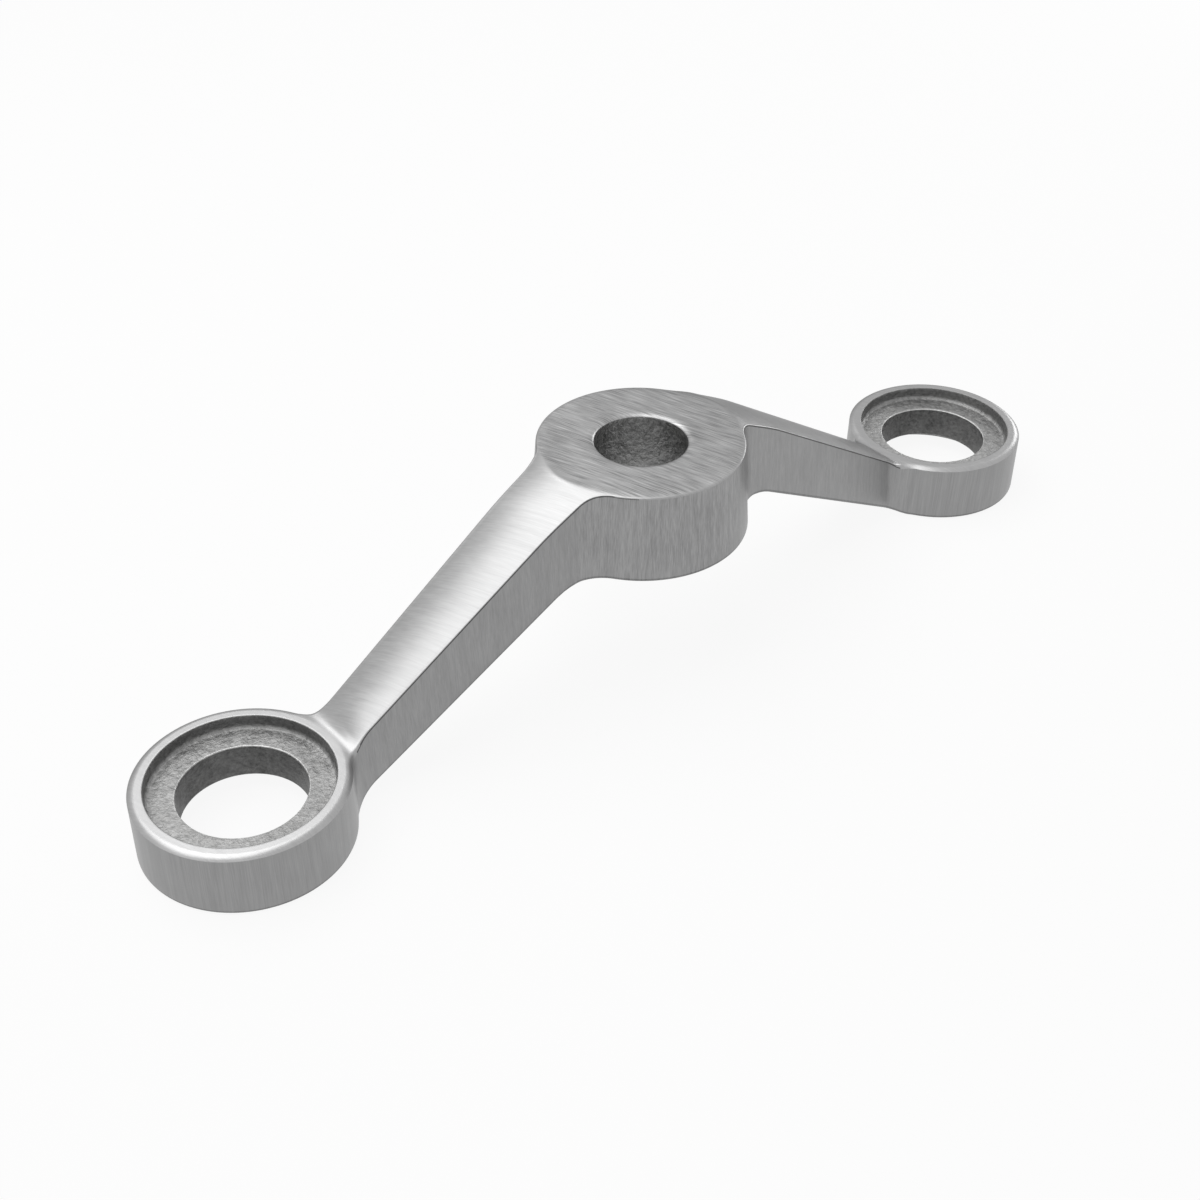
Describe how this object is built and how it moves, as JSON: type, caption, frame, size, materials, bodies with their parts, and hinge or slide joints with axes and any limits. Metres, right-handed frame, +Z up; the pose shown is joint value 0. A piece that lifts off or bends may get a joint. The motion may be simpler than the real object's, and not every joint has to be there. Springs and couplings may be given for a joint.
{
  "type": "glass spider fitting",
  "caption": "Straight two-arm cast spider fitting for point-fixed glass: raised bored hub, sloping tapered arms and recessed eyes for glass bolts.",
  "frame": {"origin": "on the hub's axis, level with the underside of the two eyes", "axes": "+X along the two arms, +Z up along the hub's bore, +Y across the arms"},
  "size_m": [0.3028, 0.058, 0.0614],
  "materials": {
    "brushed_casting": "satin brushed outside, as-cast grey in the eyes' washer seats"
  },
  "bodies": {
    "root": {"spider_casting": "brushed_casting"}
  },
  "joints": []
}
